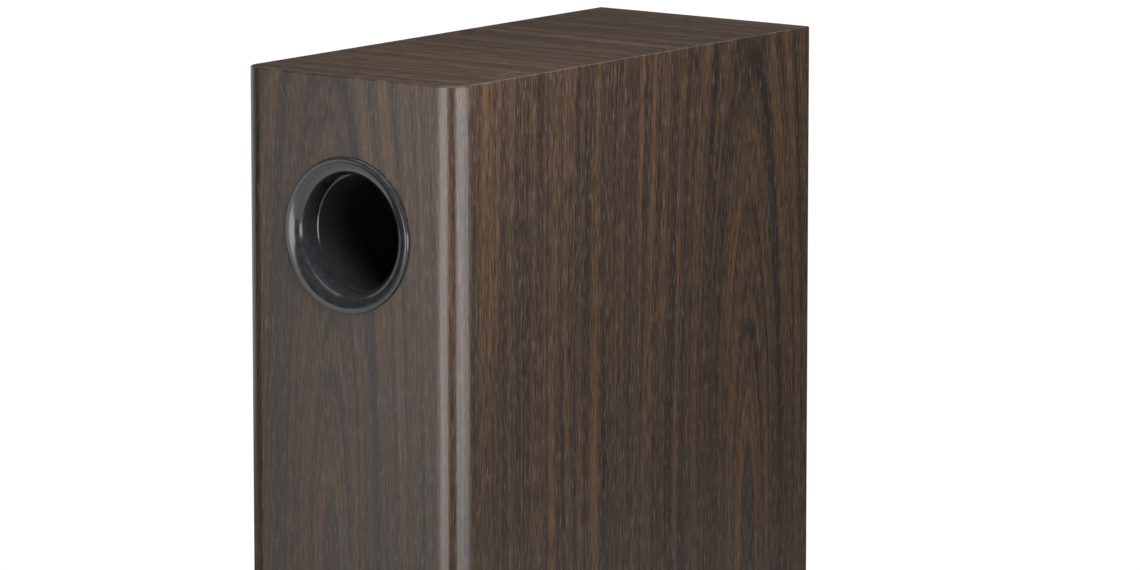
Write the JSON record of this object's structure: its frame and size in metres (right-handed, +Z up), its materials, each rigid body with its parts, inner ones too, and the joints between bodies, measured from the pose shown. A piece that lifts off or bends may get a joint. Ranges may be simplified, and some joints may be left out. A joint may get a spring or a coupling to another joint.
{
  "type": "floorstanding speaker",
  "caption": "Slim floorstanding reflex loudspeaker with a dark striped wood finish, rear port, dome tweeter, woofers, binding posts and levelling feet.",
  "frame": {"origin": "on the floor under the middle of the plinth, at the bottom centre of the bounding box", "axes": "+Z up, -Y towards the front baffle, +Y towards the rear port, +X to the left of someone facing the front"},
  "size_m": [0.246, 0.468, 1.02],
  "materials": {
    "striped_wood": "satin printed film",
    "bare_board": "raw fibreboard",
    "black_lacquer": "satin lacquer",
    "gloss_black": "glossy moulded",
    "matt_black": "fine moulded texture",
    "grey_wadding": "lofted fibre",
    "black_casting": "powder coat",
    "black_rubber": "satin",
    "woven_cone": "coated pulp",
    "spider_cloth": "impregnated cloth",
    "copper_wire": "enamelled",
    "ferrite": "matt",
    "zinc_steel": "zinc plated",
    "black_steel": "black oxide",
    "silk_dome": "doped silk",
    "gold_plate": "plated",
    "red_cap": "clear sleeve",
    "black_cap": "clear sleeve",
    "circuit_board": "solder mask",
    "film_wrap": "polyester wrap",
    "cement": "matt",
    "lead_jacket": "sleeved",
    "black_nickel": "black nickel"
  },
  "bodies": {
    "cabinet": {"cabinet_carcass": "striped_wood", "top_panel": "striped_wood", "front_baffle": "striped_wood", "bottom_panel": "bare_board", "window_braces": "bare_board", "plinth": "black_lacquer", "port_flare": "gloss_black", "port_tube": "matt_black", "terminal_cup": "matt_black", "tweeter_faceplate": "matt_black", "woofer_trim_rings": "matt_black", "damping_wadding": "grey_wadding", "upper_woofer_basket": "black_casting", "lower_woofer_basket": "black_casting", "upper_woofer_surround": "black_rubber", "lower_woofer_surround": "black_rubber", "upper_woofer_spider": "spider_cloth", "lower_woofer_spider": "spider_cloth", "crossover_inductors": "copper_wire", "upper_woofer_magnet": "ferrite", "lower_woofer_magnet": "ferrite", "tweeter_magnet": "ferrite", "upper_woofer_top_plate": "zinc_steel", "lower_woofer_top_plate": "zinc_steel", "upper_woofer_yoke": "zinc_steel", "lower_woofer_yoke": "zinc_steel", "tweeter_top_plate": "zinc_steel", "tweeter_yoke": "zinc_steel", "plinth_bolts": "zinc_steel", "board_standoffs": "zinc_steel", "post_nuts": "zinc_steel", "woofer_screws": "black_steel", "tweeter_screws": "black_steel", "terminal_screws": "black_steel", "post_stems": "gold_plate", "crossover_board": "circuit_board", "crossover_capacitors": "film_wrap", "crossover_resistors": "cement", "internal_leads": "lead_jacket", "spike_inserts": "black_nickel"},
    "upper_cone": {"upper_woofer_cone": "woven_cone", "upper_woofer_dust_cap": "woven_cone", "upper_woofer_voice_coil": "copper_wire"},
    "lower_cone": {"lower_woofer_cone": "woven_cone", "lower_woofer_dust_cap": "woven_cone", "lower_woofer_voice_coil": "copper_wire"},
    "dome": {"tweeter_dome": "silk_dome", "tweeter_voice_coil": "copper_wire"},
    "red_washer": {"red_clamp_washer": "gold_plate"},
    "red_cap": {"red_post_cap": "red_cap"},
    "black_washer": {"black_clamp_washer": "gold_plate"},
    "black_cap": {"black_post_cap": "black_cap"},
    "front_left_disc": {"front_left_floor_disc": "black_nickel"},
    "front_left_screw": {"front_left_spike": "black_nickel"},
    "front_right_disc": {"front_right_floor_disc": "black_nickel"},
    "front_right_screw": {"front_right_spike": "black_nickel"},
    "rear_left_disc": {"rear_left_floor_disc": "black_nickel"},
    "rear_left_screw": {"rear_left_spike": "black_nickel"},
    "rear_right_disc": {"rear_right_floor_disc": "black_nickel"},
    "rear_right_screw": {"rear_right_spike": "black_nickel"}
  },
  "joints": [
    {"name": "upper_cone_travel", "type": "slide", "parent": "cabinet", "child": "upper_cone", "axis": [0, -1, 0], "range_m": [-0.005, 0.005], "stiffness_N_per_m": 1100, "deforming": ["upper_woofer_surround", "upper_woofer_spider"]},
    {"name": "lower_cone_travel", "type": "slide", "parent": "cabinet", "child": "lower_cone", "axis": [0, -1, 0], "range_m": [-0.005, 0.005], "stiffness_N_per_m": 1100, "deforming": ["lower_woofer_surround", "lower_woofer_spider"]},
    {"name": "dome_travel", "type": "slide", "parent": "cabinet", "child": "dome", "axis": [0, -1, 0], "range_m": [-0.0005, 0.0005], "stiffness_N_per_m": 1500},
    {"name": "red_clamp_travel", "type": "slide", "parent": "cabinet", "child": "red_washer", "axis": [0, 1, 0], "range_m": [0, 0.0045]},
    {"name": "red_cap_turn", "type": "hinge", "parent": "red_washer", "child": "red_cap", "pos_m": [-0.00953, 0.2, 0.194], "axis": [0, 1, 0], "range_deg": [0, 1620]},
    {"name": "black_clamp_travel", "type": "slide", "parent": "cabinet", "child": "black_washer", "axis": [0, 1, 0], "range_m": [0, 0.0045]},
    {"name": "black_cap_turn", "type": "hinge", "parent": "black_washer", "child": "black_cap", "pos_m": [0.00953, 0.2, 0.194], "axis": [0, 1, 0], "range_deg": [0, 1620]},
    {"name": "front_left_foot_drop", "type": "slide", "parent": "cabinet", "child": "front_left_disc", "axis": [0, 0, -1], "range_m": [0, 0.008]},
    {"name": "front_left_spike_turn", "type": "hinge", "parent": "front_left_disc", "child": "front_left_screw", "pos_m": [-0.103, -0.212, 0.03], "axis": [0, 0, -1], "range_deg": [0, 2304]},
    {"name": "front_right_foot_drop", "type": "slide", "parent": "cabinet", "child": "front_right_disc", "axis": [0, 0, -1], "range_m": [0, 0.008]},
    {"name": "front_right_spike_turn", "type": "hinge", "parent": "front_right_disc", "child": "front_right_screw", "pos_m": [0.103, -0.212, 0.03], "axis": [0, 0, -1], "range_deg": [0, 2304]},
    {"name": "rear_left_foot_drop", "type": "slide", "parent": "cabinet", "child": "rear_left_disc", "axis": [0, 0, -1], "range_m": [0, 0.008]},
    {"name": "rear_left_spike_turn", "type": "hinge", "parent": "rear_left_disc", "child": "rear_left_screw", "pos_m": [-0.103, 0.212, 0.03], "axis": [0, 0, -1], "range_deg": [0, 2304]},
    {"name": "rear_right_foot_drop", "type": "slide", "parent": "cabinet", "child": "rear_right_disc", "axis": [0, 0, -1], "range_m": [0, 0.008]},
    {"name": "rear_right_spike_turn", "type": "hinge", "parent": "rear_right_disc", "child": "rear_right_screw", "pos_m": [0.103, 0.212, 0.03], "axis": [0, 0, -1], "range_deg": [0, 2304]}
  ],
  "couplings": [
    {"joint": "red_cap_turn", "follows": "red_clamp_travel", "rad_per_m": 6283.2},
    {"joint": "black_cap_turn", "follows": "black_clamp_travel", "rad_per_m": 6283.2},
    {"joint": "front_left_spike_turn", "follows": "front_left_foot_drop", "rad_per_m": 5026.5},
    {"joint": "front_right_spike_turn", "follows": "front_right_foot_drop", "rad_per_m": 5026.5},
    {"joint": "rear_left_spike_turn", "follows": "rear_left_foot_drop", "rad_per_m": 5026.5},
    {"joint": "rear_right_spike_turn", "follows": "rear_right_foot_drop", "rad_per_m": 5026.5}
  ]
}
